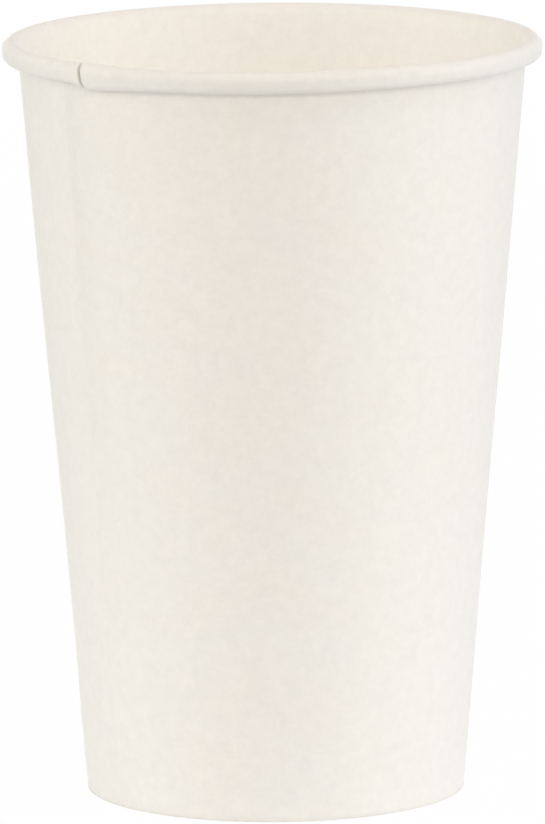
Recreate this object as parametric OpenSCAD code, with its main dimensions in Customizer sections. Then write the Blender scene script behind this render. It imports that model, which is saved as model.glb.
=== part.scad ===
// A paper hot-drink cup: one board blank wrapped into a cone, with its rim rolled outward and its
// foot folded in round the skirt of a recessed bottom. The origin is the centre of the foot.

/* [Cup] */
// Outside diameter over the rolled rim
rim_d = 80; // [76:0.5:92]
// Outside diameter of the side wall at the foot
base_d = 56; // [50:0.5:62]
// Height from the foot to the top of the rim
cup_h = 112.5; // [80:0.5:150]

/* [Board] */
// Thickness of the board that the side wall is made of
board_t = 0.4; // [0.3:0.05:0.45]
// Thickness of the board that the bottom is made of
bottom_t = 0.3; // [0.2:0.05:0.4]

/* [Rolled rim] */
// Height of the roll
roll_h = 3.1; // [3:0.1:3.8]
// Width of the roll, out from the wall's inside face
roll_w = 2.7; // [2.5:0.1:3]
// Clearance between the wall and the curl that comes back to it
curl_gap = 0.1; // [0.05:0.05:0.2]

/* [Side seam] */
// Direction of the outer layer's cut edge, seen from above, from the +X axis
seam_deg = -143.5; // [-180:0.5:180]
// Angle over which the two layers overlap
lap_deg = 7.5; // [5:0.5:10]
// Angle over which the outer layer settles back on to the cone
settle_deg = 18; // [16:1:30]
// Width of the groove at the inner layer's cut end
notch_w = 0.4; // [0.3:0.1:0.8]

/* [Foot] */
// Height of the bottom's upper face above the foot
recess_h = 8; // [7:0.5:12]
// Height of the hem that is folded up inside the foot
hem_h = 6.2; // [4:0.1:6.5]
// Width of the flat that the cup stands on
foot_flat = 0.6; // [0.4:0.05:0.7]
// Outside radius of the bend between the bottom and its skirt
bend_r = 0.9; // [0.6:0.1:1.4]

/* [Hidden] */
$fn = 180;

BOARD_COLOUR = [0.95, 0.93, 0.89];
BOTTOM_COLOUR = [0.94, 0.91, 0.85];

base_r = base_d / 2;
rim_r = rim_d / 2;
far = 2 * cup_h;

// The roll in section: over the top, down the outer side, under, and tucked up inside
top_r = roll_w / 2;
top_x = top_r - board_t;
side_x = top_x + top_r - board_t;
under_r = (side_x + board_t - curl_gap) / 2;
under_x = curl_gap + under_r;
side_l = roll_h - top_r - under_r;
tuck_share = 0.65;
tuck_r = tuck_share * under_r;
tuck_x = curl_gap + tuck_r;

// The wall's slant length and its angle from upright, from the rim's radius and height
reach = [rim_r - top_r - base_r, cup_h - top_r];
wall_l = sqrt(reach.x * reach.x + reach.y * reach.y - top_x * top_x);
taper = atan2(reach.x, reach.y) - atan2(top_x, wall_l);
side_y = wall_l - side_l;

// The foot's fold goes round the skirt, and the flat cuts its lowest part off
fold_r = board_t + bottom_t / 2;
fold_drop = sqrt(fold_r * fold_r - foot_flat * foot_flat / 4);
fold_y = (fold_drop - fold_r * sin(taper)) / cos(taper);
hem_x = -2 * board_t - bottom_t;

// The bend of the bottom touches the wall's inside face
bend_y = (recess_h - bend_r - (board_t + bend_r) * sin(taper)) / cos(taper);
bend_c = [
    base_r - (board_t + bend_r) * cos(taper) + bend_y * sin(taper),
    recess_h - bend_r
];

// The outer layer lies on a cone whose axis is moved toward the seam, drawn past where it settles
lap_rise = board_t / cos(taper);
lap_shift = lap_rise / (1 - cos(settle_deg));
flap_over = 1.6;
flap_deg = flap_over * settle_deg;
flap_top = side_y - under_r + board_t / 2;
notch_deg = notch_w / rim_r * 180 / PI;

// The hidden layer is pressed a little into the layer over it, and reaches past the groove
seat_share = 0.8;
seat = seat_share * board_t;
notches_past = 3;

// Puts a section drawn beside an upright wall, outside face at x = 0, at the cup's taper
module tapered(inset = 0) {
    translate([base_r - inset, 0]) rotate(-taper) children();
}

// A straight run of board in section, as corner points so that it ends exactly where a turn starts
module run(x, y0, y1, t = board_t) {
    polygon([[x, y0], [x + t, y0], [x + t, y1], [x, y1]]);
}

module ring(r) {
    difference() {
        circle(r);
        circle(r - board_t);
    }
}

// Half a turn of board, over the top of its centre
module half_turn(x, y, r) {
    translate([x, y]) intersection() {
        ring(r);
        translate([-r, 0]) square([2 * r, r]);
    }
}

// A quarter turn of board, above and to the right of its centre
module quarter_turn(r) {
    intersection() {
        ring(r);
        square(r);
    }
}

// The layer that shows on the outside of the roll
module roll_skin() {
    half_turn(top_x, wall_l, top_r);
    run(side_x, side_y, wall_l);
    mirror([0, 1]) half_turn(under_x, -side_y, under_r);
}

module tucked_edge() {
    translate([tuck_x, side_y]) mirror([1, 0]) quarter_turn(tuck_r);
}

// The foot's fold and the hem above it, inside the cup
module folded_foot() {
    mirror([0, 1]) half_turn(-fold_r, -fold_y, fold_r);
    run(hem_x, fold_y, hem_h);
}

module board_section() {
    intersection() {
        tapered() {
            run(-board_t, fold_y, wall_l);
            roll_skin();
            tucked_edge();
            folded_foot();
        }
        square([far, far]);
    }
}

// A part turn of a section, from one direction on
module part_turn(from_deg, turn_deg) {
    rotate([0, 0, from_deg]) rotate_extrude(angle = turn_deg) children();
}

// The outer layer over the overlap: a step at its cut edge, fading into the cone
module outer_flap() {
    difference() {
        rotate([0, 0, seam_deg]) translate([lap_shift, 0, 0]) rotate_extrude(angle = flap_deg)
            tapered(inset = lap_shift - lap_rise) run(-fold_r, fold_y, flap_top, fold_r);
        rotate_extrude() intersection() {
            tapered() translate([-far - board_t / 2, -far]) square([far, 2 * far]);
            translate([0, -fold_r]) square([far, far]);
        }
    }
}

// The same layer inside the roll, where it is the hidden one
module layer_in_roll() {
    part_turn(seam_deg, lap_deg + notches_past * notch_deg) tapered() {
        run(seat - board_t, wall_l - board_t, wall_l, board_t - seat + curl_gap);
        half_turn(top_x, wall_l, top_r - seat);
        run(side_x - seat, side_y, wall_l);
        translate([under_x, side_y]) mirror([0, 1]) quarter_turn(under_r - seat);
    }
}

// The same layer on the inside of the hem
module layer_on_hem() {
    part_turn(seam_deg, lap_deg) tapered()
        run(hem_x - seat, fold_y, hem_h - board_t / 2);
}

// The groove at the inner layer's cut end: pressed half shut up the inside, open round the roll
module cut_end() {
    part_turn(seam_deg + lap_deg, notch_deg) tapered() {
        run(-board_t, recess_h, wall_l, board_t / 2);
        roll_skin();
    }
}

module side_wall() {
    color(BOARD_COLOUR) {
        difference() {
            union() {
                rotate_extrude() board_section();
                outer_flap();
            }
            cut_end();
        }
        layer_in_roll();
        layer_on_hem();
    }
}

// A disc with its edge turned down as a skirt, which the foot's fold clamps
module bottom_disc() {
    color(BOTTOM_COLOUR) rotate_extrude() {
        translate([0, recess_h - bottom_t]) square([bend_c.x, bottom_t]);
        translate(bend_c) intersection() {
            difference() {
                circle(bend_r);
                circle(bend_r - bottom_t);
            }
            polygon([[0, 0], [0, far], [far, far], [far * cos(taper), -far * sin(taper)]]);
        }
        tapered() run(-board_t - bottom_t, fold_y, bend_y, bottom_t);
    }
}

side_wall();
bottom_disc();
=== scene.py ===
"""Looks of a plain paper hot-drink cup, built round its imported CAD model.

The cup is two sheets of board. The wall sheet is one fan-shaped blank, wrapped past a full turn so that its
ends overlap in the side seam, rolled outward at the rim and folded in at the foot. The bottom sheet is a disc
with its edge turned down. The cup's lengths are in millimetres until a mesh is made. The stage, the lamps and
the camera are in metres.
"""

import math

import bpy
import numpy as np
from mathutils import Matrix, Vector


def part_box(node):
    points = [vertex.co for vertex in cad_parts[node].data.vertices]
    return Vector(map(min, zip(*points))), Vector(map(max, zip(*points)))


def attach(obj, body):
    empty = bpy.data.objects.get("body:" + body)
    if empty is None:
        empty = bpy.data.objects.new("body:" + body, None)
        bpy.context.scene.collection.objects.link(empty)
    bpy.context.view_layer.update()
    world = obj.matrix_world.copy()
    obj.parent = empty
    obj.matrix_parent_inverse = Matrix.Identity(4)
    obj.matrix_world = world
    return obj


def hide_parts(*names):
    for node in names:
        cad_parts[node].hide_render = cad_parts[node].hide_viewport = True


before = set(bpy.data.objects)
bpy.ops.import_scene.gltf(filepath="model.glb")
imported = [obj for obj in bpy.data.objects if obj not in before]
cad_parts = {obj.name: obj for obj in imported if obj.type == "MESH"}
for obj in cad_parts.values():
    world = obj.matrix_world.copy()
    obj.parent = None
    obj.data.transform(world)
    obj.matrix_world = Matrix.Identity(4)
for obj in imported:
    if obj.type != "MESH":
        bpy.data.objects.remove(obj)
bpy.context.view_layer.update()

MM = 0.001
WALL_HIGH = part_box("side_wall")[1]
DISC_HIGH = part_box("bottom_disc")[1]

# The cup, from the frame and from the same driving sizes as the source
RIM_R = WALL_HIGH.x / MM
CUP_H = WALL_HIGH.z / MM
RECESS_H = DISC_HIGH.z / MM
BASE_R = 28.0
BOARD_T = 0.4
BOTTOM_T = 0.3
ROLL_H = 3.1
ROLL_W = 2.7
CURL_GAP = 0.1
TUCK_SHARE = 0.65
HEM_H = 6.2
FOOT_FLAT = 0.6
BEND_R = 0.9

# The side seam: the outer layer's cut edge, the overlap, and how the layers settle on each other
SEAM_DEG = -143.5
LAP_DEG = 7.5
GLUE_T = 0.01
SETTLE_DEG = 16.5
SETTLE_POWER = 1.3
FOLD_RISE = 0.05
FOLD_PRESS = 0.13

# The roll where the overlap ends: the groove at the cut end, the proud lip past it and the ridge on the lip
GROOVE_DEEP = 0.28
GROOVE_DEG = 1.2
LIP_PROUD = 0.22
LIP_FROM_DEG = 0.35
LIP_DEG = 1.5
LIP_FADE_DEG = 14.0
LIP_RIDGE = 0.08
RIDGE_DEG = 1.4

# Share of the groove's depth, and how far the rows are turned askew: at the roll's start, over its top, down
# its side and under it
GROOVE_SHARE = (0.0, 0.0, 0.8, 1.0)
ASKEW_DEG = (0.0, 0.2, 0.9, 2.1)
ASKEW_FADE_DEG = 30.0

# How much lower the roll hangs past the seam, between which angles, and how much wider its curl gap is there
SAG = 0.45
SAG_FROM, SAG_FULL, SAG_HELD, SAG_TO = 3.5, 6.5, 13.0, 33.0
SEAM_GAP = 0.2

# Over what length up the wall the roll, the fold and the hem go over into it
ROLL_BLEND = 2.5
FOLD_BLEND = 6.0
HEM_BLEND = 3.0

# The ribs that are pressed into the hem
HEM_RIBS = 120
RIB_DEPTH = 0.05

# How the shape strays from round and straight: the fold's corners, the wall's bow, a foot that is wider and a
# rim that is narrower at the left, and a roll that rises and falls round the cup
CORNER = 0.17
BOW = 0.12
BOW_FROM, BOW_TO = 5.0, 75.0
FOOT_WIDE = 0.14
FOOT_WIDE_TO, FOOT_WIDE_END = 8.0, 20.0
RIM_NARROW = 0.1
RIM_STRAY = 30.0
WAVE_DEG = (-180, -120, -105, -90, -70, -50, -20, 30, 60, 90, 120)
WAVE_UP = (0.0, 0.02, -0.08, 0.06, 0.2, 0.24, 0.2, 0.16, 0.15, 0.12, 0.08)

# The bottom: how far its middle hangs, and the puckers of its turned-down edge
DISH = 0.25
PUCKERS = 72
PUCKER_DEPTH = 0.03

# The wall's mesh: columns round the cup as (from, to, steps), in degrees past the outer layer's cut edge, and
# the steps of its rows up the section
WALL_COLUMNS = (
    (0.0, 2.0, 8),
    (2.0, 6.5, 9),
    (6.5, 10.0, 35),
    (10.0, 24.0, 28),
    (24.0, 354.0, 220),
    (354.0, 366.5, 25),
    (366.5, 367.5, 8),
)
HEM_STEPS, FOLD_STEPS, WALL_STEPS, BLEND_STEPS = 5, 16, 24, 3
TOP_STEPS, SIDE_STEPS, UNDER_STEPS, TUCK_STEPS = 14, 3, 14, 6
ROLL_ROW = HEM_STEPS + FOLD_STEPS + WALL_STEPS + BLEND_STEPS
ROWS = ROLL_ROW + TOP_STEPS + SIDE_STEPS + UNDER_STEPS + TUCK_STEPS + 1

# The bottom's mesh, and the angle from which an edge of either sheet is sharp
DISC_STEPS, BEND_STEPS, SKIRT_STEPS, DISC_COLUMNS = 16, 10, 6, 288
SHARP_DEG = 40.0

# The stretches of the section that a row can be in. What comes after the wall is the roll.
HEM, FOLD, WALL = 0, 1, 2

# The faces of a sheet, which are also its material slots
FIRST_SKIN, SECOND_SKIN, CUT_EDGE = 0, 1, 2

# The wall's section, beside an upright wall whose outside face is at x = 0
TOP_R = ROLL_W / 2
TOP_X = TOP_R - BOARD_T
SIDE_X = TOP_X + TOP_R - BOARD_T
UNDER_R = (SIDE_X + BOARD_T - CURL_GAP) / 2
SIDE_L = ROLL_H - TOP_R - UNDER_R
REACH_X, REACH_Y = RIM_R - TOP_R - BASE_R, CUP_H - TOP_R
WALL_L = math.sqrt(REACH_X**2 + REACH_Y**2 - TOP_X**2)
TAPER = math.atan2(REACH_X, REACH_Y) - math.atan2(TOP_X, WALL_L)
FOLD_R = BOARD_T + BOTTOM_T / 2
FOLD_DROP = math.sqrt(FOLD_R**2 - FOOT_FLAT**2 / 4)
FOLD_Y = (FOLD_DROP - FOLD_R * math.sin(TAPER)) / math.cos(TAPER)
HEM_X = -1.5 * BOARD_T - BOTTOM_T

# The bend between the bottom and its skirt: how far up the wall it ends, and the radius of its centre
BEND_Y = (RECESS_H - BEND_R - (BOARD_T + BEND_R) * math.sin(TAPER)) / math.cos(TAPER)
BEND_X = BASE_R - (BOARD_T + BEND_R) * math.cos(TAPER) + BEND_Y * math.sin(TAPER)

# The three sides of the board: name, colour, roughness, gloss and depth of the grain
BOARD_SIDES = (
    ("board_outside", (0.90, 0.875, 0.835), 0.6, 0.15, 0.02),
    ("board_inside", (0.852, 0.834, 0.797), 0.42, 0.15, 0.008),
    ("board_cut", (0.78, 0.775, 0.74), 0.8, 0.2, 0.03),
)

# The patterns on the board: the size of their patches, their detail, and how low and high they go
CLOUD_SIZE, CLOUD_DETAIL, CLOUD_RANGE = 8.0, 2.0, (-0.3, 1.3)
FINE_SIZE, FINE_DETAIL, FINE_RANGE = 0.55, 3.0, (0.959, 1.035)
BROAD_SIZE, BROAD_DETAIL, BROAD_RANGE = 1.8, 3.0, (0.957, 1.043)
SHEEN_SIZE, SHEEN_DETAIL, SHEEN_SPREAD = 1.2, 2.0, 0.05
GRAIN_SIZE, GRAIN_DETAIL, GRAIN_STRENGTH = 0.35, 4.0, 0.6

# What the clouds do to the board's colour
WARM = (1.0, 0.992, 0.975)
COOL = (0.99, 0.995, 1.0)

# Painted shade on the two-layer board at the seam, for less light through it: how much darker at the rim, and
# where it fades out
SEAM_PAINTED_SHADE = 0.045
SEAM_SHADE_FROM, SEAM_SHADE_FULL = 17.0, 107.0
SEAM_SHADE_DEG = 10.0

LAMPS = (
    # name, place, aim height, width, height, watts, colour
    ("left", (-1.083, -0.191, 0.2), 0.06, 0.6, 0.5, 3.4, (0.995, 1.0, 0.98)),
    ("right", (1.083, -0.191, 0.2), 0.06, 0.6, 0.5, 3.68, (0.96, 1.0, 0.993)),
    ("left_high", (-0.886, -0.156, 0.6), 0.06, 0.6, 0.5, 0.8, (0.984, 1.0, 0.857)),
    ("right_high", (0.886, -0.156, 0.6), 0.06, 0.6, 0.5, 0.95, (0.873, 0.902, 1.0)),
    ("front_high", (0.0, -1.1, 0.5), 0.06, 0.8, 0.4, 3.15, (1.0, 0.914, 0.766)),
    ("front_top", (0.0, -0.62, 0.95), 0.06, 0.4, 0.25, 0.3, (1.0, 0.93, 0.8)),
    ("back_low", (0.0, 1.1, 0.05), 0.05, 0.3, 0.09, 2.2, (1.0, 1.0, 1.0)),
    ("right_top", (0.475, -0.399, 0.95), 0.06, 0.4, 0.25, 0.66, (1.0, 0.972, 0.983)),
    ("overhead", (0.0, 0.0, 0.45), 0.06, 0.4, 0.4, 0.335, (1.0, 0.791, 0.733)),
    ("table_glow", (0.0, 0.0, 0.0001), 1.0, 0.3, 0.3, 0.06, (0.79, 0.86, 1.0)),
)

# The light that soaks through the board, as a soft glow inside the cup: height, radius, watts and colour
SOAK_Z, SOAK_R, SOAK_WATTS, SOAK_COLOUR = 0.05, 0.015, 0.0212, (1.0, 0.992, 0.963)

# The world and the floor light the cup at these levels, and the camera sees them white
WHITE = (1.0, 1.0, 1.0)
WORLD_STRENGTH = 0.43
FLOOR = (0.70, 0.70, 0.70)
FLOOR_ROUGH, FLOOR_GLOSS = 0.8, 0.1
FLOOR_HALF = 3.0
WORLD_WHITE, FLOOR_WHITE = 1.0, 0.985

# The camera: degrees above the table, distance, lens and film width in millimetres, roll in degrees, and
# how far it is moved to its right and up
CAMERA_ELEVATION = 9.731
CAMERA_DISTANCE = 1.52875
CAMERA_LENS, CAMERA_FILM = 449.12, 36.0
CAMERA_ROLL = -0.346
CAMERA_OFFSET = (-0.000241, 0.00008)
CAMERA_FAR = 20.0


def held(x):
    """x, held between 0 and 1."""
    return np.clip(x, 0.0, 1.0)


def smooth(x):
    """From 0 to 1, with level ends, as x goes from 0 to 1."""
    x = held(x)
    return x * x * (3.0 - 2.0 * x)


def even(steps):
    """Shares from 0 to 1 in even steps."""
    return np.linspace(0.0, 1.0, steps + 1)


def turn(x, y, r, start, end, steps):
    """Points and travel directions round an arc, a row for each step."""
    angle = np.radians(np.linspace(start, end, steps + 1))[:, None]
    across, up = np.cos(angle), np.sin(angle)
    way = math.copysign(1.0, end - start)
    return x + r * across, y + r * up, -way * up, way * across


def straight(x, start, end, marks):
    """Points and travel directions along a run of board, a row for each mark, as a share of the way."""
    y = start + (end - start) * marks[:, None]
    way = np.sign(end - start)
    return x + 0 * y, y, 0 * y, way + 0 * y


def wall_marks():
    """The wall's rows as shares of its length, closer together where it goes over into the roll."""
    blend = ROLL_BLEND / (WALL_L - FOLD_Y)
    return np.append(even(WALL_STEPS) * (1.0 - blend), 1.0 - blend * (1.0 - even(BLEND_STEPS)[1:]))


def wall_path(sag, gap):
    """The board's middle line, from the hem's end to the tucked edge, for columns of this sag and gap."""
    side_y = WALL_L - SIDE_L - sag
    under_r = (SIDE_X + BOARD_T - gap) / 2
    tuck_r = TUCK_SHARE * under_r
    half = BOARD_T / 2
    flat = 0 * sag
    parts = [
        straight(HEM_X + flat, HEM_H, FOLD_Y, even(HEM_STEPS)),
        turn(-FOLD_R + flat, FOLD_Y, FOLD_R - half, 180, 360, FOLD_STEPS),
        straight(-half + flat, FOLD_Y, WALL_L, wall_marks()),
        turn(TOP_X + flat, WALL_L, TOP_R - half, 180, 0, TOP_STEPS),
        straight(SIDE_X + half + flat, WALL_L, side_y, even(SIDE_STEPS)),
        turn(gap + under_r, side_y, under_r - half, 0, -180, UNDER_STEPS),
        turn(gap + tuck_r, side_y, tuck_r - half, 180, 90, TUCK_STEPS),
    ]
    rows, kinds = [], []
    for kind, part in enumerate(parts):
        start = 0 if kind == HEM else 1
        full = [np.broadcast_to(values, (len(values), sag.size)) for values in part]
        rows.append(np.stack(full)[:, start:])
        kinds += [kind] * rows[-1].shape[1]
    return np.concatenate(rows, axis=1), np.array(kinds)[:, None]


def columns():
    """The angle of every column past the outer layer's cut edge, all the way to the inner layer's."""
    runs = [np.linspace(a, b, n, endpoint=False) for a, b, n in WALL_COLUMNS]
    return np.concatenate([*runs, [WALL_COLUMNS[-1][1]]])


def settle(deg):
    """Share of the outer layer's rise that is left at an angle past its cut edge."""
    return held(1.0 - deg / SETTLE_DEG) ** SETTLE_POWER


def sag_share(deg):
    """How far the roll's underside hangs near the seam, as a share of the most."""
    grown = smooth((deg - SAG_FROM) / (SAG_FULL - SAG_FROM))
    return grown * (1.0 - smooth((deg - SAG_HELD) / (SAG_TO - SAG_HELD)))


def by_roll(values):
    """A value for every row, from those at the roll's start, over its top, down its side and under it."""
    gaps = (TOP_STEPS / 2, (TOP_STEPS + SIDE_STEPS) / 2, (SIDE_STEPS + UNDER_STEPS) / 2)
    return np.interp(np.arange(ROWS), ROLL_ROW + np.cumsum([0, *gaps]), values)[:, None]


def askew(deg):
    """How far the roll's rows are turned at an angle past the outer layer's cut edge."""
    return by_roll(ASKEW_DEG) * smooth(1.0 - np.abs(deg - LAP_DEG) / ASKEW_FADE_DEG)


def stretches(y, kind):
    """How far each row belongs to the hem, the fold, the wall and the roll, as shares."""
    hem = np.where(kind == HEM, smooth((y - FOLD_Y) / HEM_BLEND), 0.0)
    roll = np.where(kind == WALL, smooth((y - WALL_L + ROLL_BLEND) / ROLL_BLEND), (kind > WALL) * 1.0)
    above = np.where(kind == WALL, smooth((y - FOLD_Y) / FOLD_BLEND), (kind > WALL) * 1.0)
    return hem, 1.0 - hem - above, above - roll, roll


def lift(deg, inner, y, kind):
    """How far the sheet lies toward its outside face, at an angle past the outer layer's cut edge."""
    hem, fold, wall, roll = stretches(y, kind)
    step = BOARD_T + GLUE_T
    past = deg - LAP_DEG
    on_hem = np.where(inner, 0.0, step * (1.0 - smooth(past / LAP_DEG)))
    on_fold = np.where(inner, -FOLD_PRESS, FOLD_RISE * settle(deg))
    on_wall = step * settle(deg) - np.where(inner, step, 0.0)
    proud = -LIP_PROUD * (1.0 - smooth((past - LIP_DEG) / (LIP_FADE_DEG - LIP_DEG)))
    proud = proud - LIP_RIDGE * (1.0 - smooth((past - LIP_DEG) / RIDGE_DEG))
    rise = smooth((past - LIP_FROM_DEG) / (LIP_DEG - LIP_FROM_DEG))
    on_roll = np.where(inner, 0.0, step * (1.0 - rise) + proud * rise)
    near = smooth(1.0 - np.abs(past - LIP_FROM_DEG / 2) / GROOVE_DEG)
    groove = np.where(inner, 0.0, GROOVE_DEEP * near * (1.0 - rise))
    return hem * on_hem + fold * on_fold + wall * on_wall + roll * on_roll + by_roll(GROOVE_SHARE) * groove


def stray(y, kind):
    """How far the sheet's own shape is off the plain section: the fold's corners and the wall's bow."""
    round_fold = 2 * np.pi * (np.arange(kind.size)[:, None] - HEM_STEPS) / FOLD_STEPS
    corner = np.where(kind == FOLD, CORNER * np.sin(round_fold) ** 2, 0.0)
    along_bow = np.pi * held((y - BOW_FROM) / (BOW_TO - BOW_FROM))
    return corner - np.where(kind == WALL, BOW * np.sin(along_bow) ** 2, 0.0)


def to_cup(x, y, deg):
    """Points of the section, turned to their angle round the cup, in metres."""
    angle = np.radians(SEAM_DEG + deg) + 0 * x
    left = (1.0 - np.cos(angle)) / 2
    foot = 1.0 - smooth((y - FOOT_WIDE_TO) / (FOOT_WIDE_END - FOOT_WIDE_TO))
    rim = smooth((y - WALL_L + RIM_STRAY) / RIM_STRAY)
    wave = np.interp(np.degrees(angle), WAVE_DEG, WAVE_UP, period=360)
    r = BASE_R + x * math.cos(TAPER) + y * math.sin(TAPER) + left * (FOOT_WIDE * foot - RIM_NARROW * rim)
    z = np.maximum(y * math.cos(TAPER) - x * math.sin(TAPER), 0.0) + wave * rim
    return np.stack([r * np.cos(angle), r * np.sin(angle), z], axis=-1) * MM


def make_piece(name, points, faces, slots, materials):
    """A mesh that is smooth but at its sharp edges, with a material slot for every face."""
    mesh = bpy.data.meshes.new(name)
    mesh.from_pydata(points, [], faces)
    for material in materials:
        mesh.materials.append(material)
    mesh.polygons.foreach_set("material_index", np.array(slots, np.int32))
    mesh.shade_smooth()
    mesh.set_sharp_from_angle(angle=math.radians(SHARP_DEG))
    piece = bpy.data.objects.new(name, mesh)
    bpy.context.scene.collection.objects.link(piece)
    return piece


def open_sheet(name, first, second, materials):
    """A closed mesh between the two skins of an open blank: rows up the section, columns round the cup."""
    rows, cols = first.shape[:2]
    near = np.arange(rows * cols).reshape(rows, cols)
    far = near + rows * cols
    quads = (
        (FIRST_SKIN, near[:-1, :-1], near[:-1, 1:], near[1:, 1:], near[1:, :-1]),
        (SECOND_SKIN, far[:-1, :-1], far[1:, :-1], far[1:, 1:], far[:-1, 1:]),
        (CUT_EDGE, near[0, 1:], near[0, :-1], far[0, :-1], far[0, 1:]),
        (CUT_EDGE, near[-1, :-1], near[-1, 1:], far[-1, 1:], far[-1, :-1]),
        (CUT_EDGE, near[:-1, 0], near[1:, 0], far[1:, 0], far[:-1, 0]),
        (CUT_EDGE, near[1:, -1], near[:-1, -1], far[:-1, -1], far[1:, -1]),
    )
    faces, slots = [], []
    for slot, *corners in quads:
        some = np.stack(corners, -1).reshape(-1, 4).tolist()
        faces += some
        slots += [slot] * len(some)
    points = np.concatenate([first.reshape(-1, 3), second.reshape(-1, 3)]).tolist()
    return make_piece(name, points, faces, slots, materials)


def round_sheet(name, first, second, materials):
    """A closed mesh between the two skins of a disc: rows out from its middle, columns all the way round."""
    rows, cols = first.shape[:2]
    count = (rows - 1) * cols + 1
    points, faces, slots, rims = [], [], [], []
    for slot, skin in ((FIRST_SKIN, first), (SECOND_SKIN, second)):
        middle = slot * count
        ring = middle + 1 + np.arange((rows - 1) * cols).reshape(rows - 1, cols)
        after = np.roll(ring, -1, axis=1)
        fan = np.stack([np.full(cols, middle), ring[0], after[0]], -1).tolist()
        band = np.stack([ring[:-1], ring[1:], after[1:], after[:-1]], -1).reshape(-1, 4).tolist()
        some = fan + band
        faces += some if slot == FIRST_SKIN else [face[::-1] for face in some]
        slots += [slot] * len(some)
        points += [skin[0, 0].tolist(), *skin[1:].reshape(-1, 3).tolist()]
        rims.append((ring[-1], after[-1]))
    (first_rim, first_after), (second_rim, second_after) = rims
    faces += np.stack([first_rim, second_rim, second_after, first_after], -1).tolist()
    slots += [CUT_EDGE] * cols
    return make_piece(name, points, faces, slots, materials)


def mark_seam_painted_shade(piece, y, kind, deg):
    """Marks on the first skin how much painted shade the two-layer board gets, for less light through it:
    most at the rim and the cut edge.
    """
    height = held((y - SEAM_SHADE_FROM) / (SEAM_SHADE_FULL - SEAM_SHADE_FROM))
    near = 1.0 - smooth(deg / SEAM_SHADE_DEG)
    seam_painted_shade = np.where(kind == WALL, height * near, 0.0).ravel()
    mark = piece.data.attributes.new("seam_painted_shade", "FLOAT", "POINT")
    mark.data.foreach_set("value", np.append(seam_painted_shade, np.zeros(seam_painted_shade.size)).astype(np.float32))


def wall_sheet(materials):
    """The side wall, from the outer layer's cut edge to the inner layer's, which is past a full turn."""
    deg = columns()
    past_edge = np.where(deg > 180.0, deg - 360.0, deg)
    inner = deg >= 360.0
    sag = sag_share(past_edge)
    (x, y, tx, ty), kind = wall_path(SAG * sag, CURL_GAP + SEAM_GAP * sag)
    move = np.where(past_edge >= 0.0, lift(past_edge, inner, y, kind), 0.0)
    ribs = stretches(y, kind)[0] * RIB_DEPTH * np.cos(np.radians(HEM_RIBS * deg))
    move = move + ribs + stray(y, kind)
    turned = deg + askew(past_edge)
    skins = [
        to_cup(x + (move + side) * ty, y - (move + side) * tx, turned)
        for side in (BOARD_T / 2, -BOARD_T / 2)
    ]
    piece = open_sheet("wall_sheet", *skins, materials)
    # Painted shade on the two-layer board at the seam, for the light that comes through it less
    mark_seam_painted_shade(piece, y, kind, deg)
    return piece


def bottom_sheet(materials):
    """The bottom: a disc with its edge turned down between the wall and the hem."""
    half = BOTTOM_T / 2
    bend = np.radians(np.linspace(90.0, -math.degrees(TAPER), BEND_STEPS + 1))
    flat_r = np.linspace(0.0, BEND_X, DISC_STEPS, endpoint=False)
    mid_r = BEND_R - half
    skirt_y = np.linspace(BEND_Y, FOLD_Y, SKIRT_STEPS + 1)[1:]
    skirt_x = -BOARD_T - half
    r = np.concatenate([
        flat_r,
        BEND_X + mid_r * np.cos(bend),
        BASE_R + skirt_x * math.cos(TAPER) + skirt_y * math.sin(TAPER),
    ])
    z = np.concatenate([
        0 * flat_r + RECESS_H - half,
        RECESS_H - BEND_R + mid_r * np.sin(bend),
        skirt_y * math.cos(TAPER) - skirt_x * math.sin(TAPER),
    ])
    normal_r = np.concatenate([0 * flat_r, np.cos(bend), 0 * skirt_y + math.cos(TAPER)])
    normal_z = np.concatenate([0 * flat_r + 1.0, np.sin(bend), 0 * skirt_y - math.sin(TAPER)])
    z = z - DISH * (1.0 - smooth(r / BEND_X))
    angle = np.radians(np.linspace(0.0, 360.0, DISC_COLUMNS, endpoint=False))
    folds = (np.cos(PUCKERS * angle) - 1.0)[None, :]
    pucker = smooth((r - BEND_X) / BEND_R)[:, None] * PUCKER_DEPTH * folds
    skins = []
    for side in (half, -half):
        skin_r = r[:, None] + (side + pucker) * normal_r[:, None]
        skin_z = z[:, None] + (side + pucker) * normal_z[:, None]
        skins.append(np.stack([skin_r * np.cos(angle), skin_r * np.sin(angle), skin_z], -1) * MM)
    return round_sheet("bottom_sheet", *skins, materials)


def rgba(colour):
    return (*colour, 1.0)


def give(tree, socket, value):
    """Joins a socket to another node's output, or sets it to a plain value."""
    if isinstance(value, bpy.types.NodeSocket):
        tree.links.new(value, socket)
    else:
        socket.default_value = value


def noise(tree, size, detail):
    """A pattern with patches of about this size, fixed to the piece."""
    place = tree.nodes.new("ShaderNodeTexCoord")
    node = tree.nodes.new("ShaderNodeTexNoise")
    give(tree, node.inputs["Vector"], place.outputs["Object"])
    give(tree, node.inputs["Scale"], 1.0 / (size * MM))
    give(tree, node.inputs["Detail"], detail)
    return node.outputs["Fac"]


def ranged(tree, value, low, high):
    """A value from 0 to 1, spread from low to high."""
    node = tree.nodes.new("ShaderNodeMapRange")
    give(tree, node.inputs["Value"], value)
    give(tree, node.inputs["To Min"], low)
    give(tree, node.inputs["To Max"], high)
    return node.outputs["Result"]


def joined(tree, operation, a, b):
    """Two numbers put together by an operation of the Math node."""
    node = tree.nodes.new("ShaderNodeMath")
    node.operation = operation
    give(tree, node.inputs[0], a)
    give(tree, node.inputs[1], b)
    return node.outputs[0]


def mixed(tree, blend, share, a, b):
    """Two colours put together by a blend of the Mix node."""
    node = tree.nodes.new("ShaderNodeMix")
    node.data_type = "RGBA"
    node.blend_type = blend
    for name, value in (("Factor", share), ("A", a), ("B", b)):
        give(tree, next(s for s in node.inputs if s.name == name and s.enabled), value)
    return next(s for s in node.outputs if s.enabled)


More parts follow.
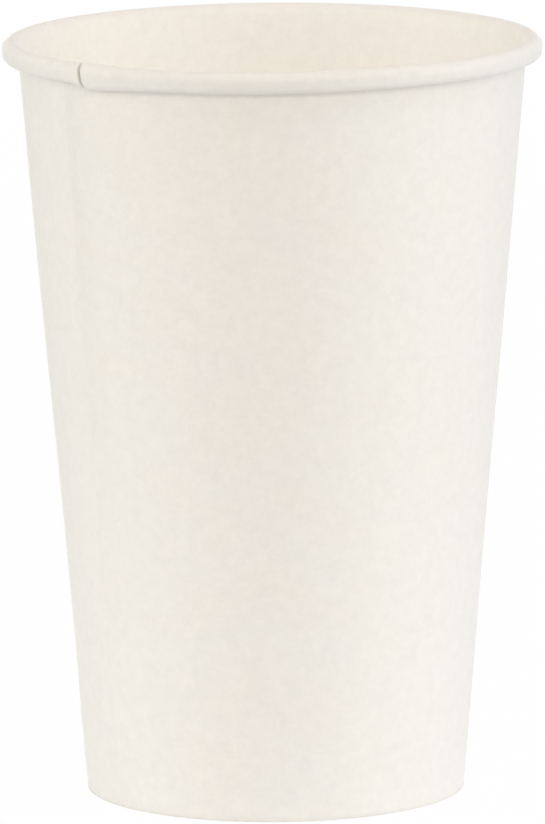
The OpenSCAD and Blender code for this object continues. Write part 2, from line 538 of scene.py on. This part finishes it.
def grey(tree, value):
    """A number as a colour."""
    node = tree.nodes.new("ShaderNodeCombineColor")
    for channel in ("Red", "Green", "Blue"):
        give(tree, node.inputs[channel], value)
    return node.outputs["Color"]


def board_colour(tree, colour):
    """The board's colour with faint clouds, fine and broad mottle, and painted shade where two layers let
    less light through.
    """
    warm = tuple(v * k for v, k in zip(colour, WARM))
    cool = tuple(v * k for v, k in zip(colour, COOL))
    clouds = ranged(tree, noise(tree, CLOUD_SIZE, CLOUD_DETAIL), *CLOUD_RANGE)
    tint = mixed(tree, "MIX", clouds, rgba(warm), rgba(cool))
    fine = ranged(tree, noise(tree, FINE_SIZE, FINE_DETAIL), *FINE_RANGE)
    broad = ranged(tree, noise(tree, BROAD_SIZE, BROAD_DETAIL), *BROAD_RANGE)
    # Painted shade: the two-layer board at the seam is darkened, most at the rim, for less light through it
    seam_shade_mark = tree.nodes.new("ShaderNodeAttribute")
    seam_shade_mark.attribute_name = "seam_painted_shade"
    through = ranged(tree, seam_shade_mark.outputs["Fac"], 1.0, 1.0 - SEAM_PAINTED_SHADE)
    mottle = joined(tree, "MULTIPLY", joined(tree, "MULTIPLY", fine, broad), through)
    return mixed(tree, "MULTIPLY", 1.0, tint, grey(tree, mottle))


def paper(name, colour, roughness, gloss, grain):
    """One side of the board, with its colour, its sheen and a fibre grain of this depth."""
    material = bpy.data.materials.new(name)
    material.use_nodes = True
    tree = material.node_tree
    shader = tree.nodes["Principled BSDF"]
    sheen = noise(tree, SHEEN_SIZE, SHEEN_DETAIL)
    rough = ranged(tree, sheen, roughness - SHEEN_SPREAD, roughness + SHEEN_SPREAD)
    relief = tree.nodes.new("ShaderNodeBump")
    give(tree, relief.inputs["Height"], noise(tree, GRAIN_SIZE, GRAIN_DETAIL))
    give(tree, relief.inputs["Strength"], GRAIN_STRENGTH)
    give(tree, relief.inputs["Distance"], grain * MM)
    give(tree, shader.inputs["Base Color"], board_colour(tree, colour))
    give(tree, shader.inputs["Roughness"], rough)
    give(tree, shader.inputs["Specular IOR Level"], gloss)
    give(tree, shader.inputs["Normal"], relief.outputs["Normal"])
    return material


def camera_share(tree):
    """1 for what the camera sees, straight or by reflection, and 0 for the light that falls on the cup."""
    path = tree.nodes.new("ShaderNodeLightPath")
    mirrored = joined(tree, "MAXIMUM", path.outputs["Is Camera Ray"], path.outputs["Is Glossy Ray"])
    return joined(tree, "MAXIMUM", mirrored, path.outputs["Is Transmission Ray"])


def show_white(tree, lit, white, share, output):
    """Shows a white shader to the camera, by this share, and leaves the lit one to light the cup."""
    give(tree, white.inputs["Color"], rgba(WHITE))
    mix = tree.nodes.new("ShaderNodeMixShader")
    give(tree, mix.inputs[0], joined(tree, "MULTIPLY", camera_share(tree), share))
    give(tree, mix.inputs[1], lit.outputs[0])
    give(tree, mix.inputs[2], white.outputs[0])
    give(tree, output.inputs["Surface"], mix.outputs[0])


def make_world():
    world = bpy.data.worlds.new("studio")
    bpy.context.scene.world = world
    world.use_nodes = True
    tree = world.node_tree
    fill = tree.nodes["Background"]
    give(tree, fill.inputs["Color"], rgba(WHITE))
    give(tree, fill.inputs["Strength"], WORLD_STRENGTH)
    white = tree.nodes.new("ShaderNodeBackground")
    show_white(tree, fill, white, WORLD_WHITE, tree.nodes["World Output"])


def floor_material():
    material = bpy.data.materials.new("pale_floor")
    material.use_nodes = True
    tree = material.node_tree
    shader = tree.nodes["Principled BSDF"]
    give(tree, shader.inputs["Base Color"], rgba(FLOOR))
    give(tree, shader.inputs["Roughness"], FLOOR_ROUGH)
    give(tree, shader.inputs["Specular IOR Level"], FLOOR_GLOSS)
    white = tree.nodes.new("ShaderNodeEmission")
    show_white(tree, shader, white, FLOOR_WHITE, tree.nodes["Material Output"])
    return material


def make_floor():
    mesh = bpy.data.meshes.new("floor")
    far = FLOOR_HALF
    corners = [(-far, -far, 0), (far, -far, 0), (far, far, 0), (-far, far, 0)]
    mesh.from_pydata(corners, [], [(0, 1, 2, 3)])
    mesh.materials.append(floor_material())
    floor = bpy.data.objects.new("floor", mesh)
    bpy.context.scene.collection.objects.link(floor)


def make_lamp(name, kind, place, watts, colour):
    """A lamp that the camera doesn't see."""
    light = bpy.data.lights.new(name, kind)
    light.energy = watts
    light.color = colour
    lamp = bpy.data.objects.new(name, light)
    lamp.location = place
    lamp.visible_camera = False
    bpy.context.scene.collection.objects.link(lamp)
    return lamp


def make_lamps():
    for name, place, aim_z, width, height, watts, colour in LAMPS:
        lamp = make_lamp(name, "AREA", place, watts, colour)
        lamp.data.shape = "RECTANGLE"
        lamp.data.size, lamp.data.size_y = width, height
        aim = Vector((0.0, 0.0, aim_z)) - Vector(place)
        lamp.rotation_euler = aim.to_track_quat("-Z", "Y").to_euler()
    soak = make_lamp("soak", "POINT", (0.0, 0.0, SOAK_Z), SOAK_WATTS, SOAK_COLOUR)
    soak.data.shadow_soft_size = SOAK_R


def make_camera():
    angle = math.radians(CAMERA_ELEVATION)
    back = Vector((0.0, -math.cos(angle), math.sin(angle)))
    up = Vector((0.0, math.sin(angle), math.cos(angle)))
    right = Vector((1.0, 0.0, 0.0))
    centre = Vector((0.0, 0.0, CUP_H * MM / 2))
    data = bpy.data.cameras.new("camera")
    data.lens = CAMERA_LENS
    data.sensor_width = CAMERA_FILM
    data.clip_end = CAMERA_FAR
    camera = bpy.data.objects.new("camera", data)
    roll = Matrix.Rotation(math.radians(CAMERA_ROLL), 4, "Z")
    place = centre + back * CAMERA_DISTANCE + right * CAMERA_OFFSET[0] + up * CAMERA_OFFSET[1]
    turned = Matrix((right, up, back)).transposed().to_4x4() @ roll
    camera.matrix_world = Matrix.Translation(place) @ turned
    bpy.context.scene.collection.objects.link(camera)
    bpy.context.scene.camera = camera
    bpy.context.scene.view_settings.view_transform = "Standard"


def main():
    make_camera()
    make_world()
    make_floor()
    make_lamps()
    outside, inside, cut = [paper(*side) for side in BOARD_SIDES]
    wall = wall_sheet((outside, inside, cut))
    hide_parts("side_wall")
    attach(wall, "root")
    bottom = bottom_sheet((inside, outside, cut))
    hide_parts("bottom_disc")
    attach(bottom, "root")


main()
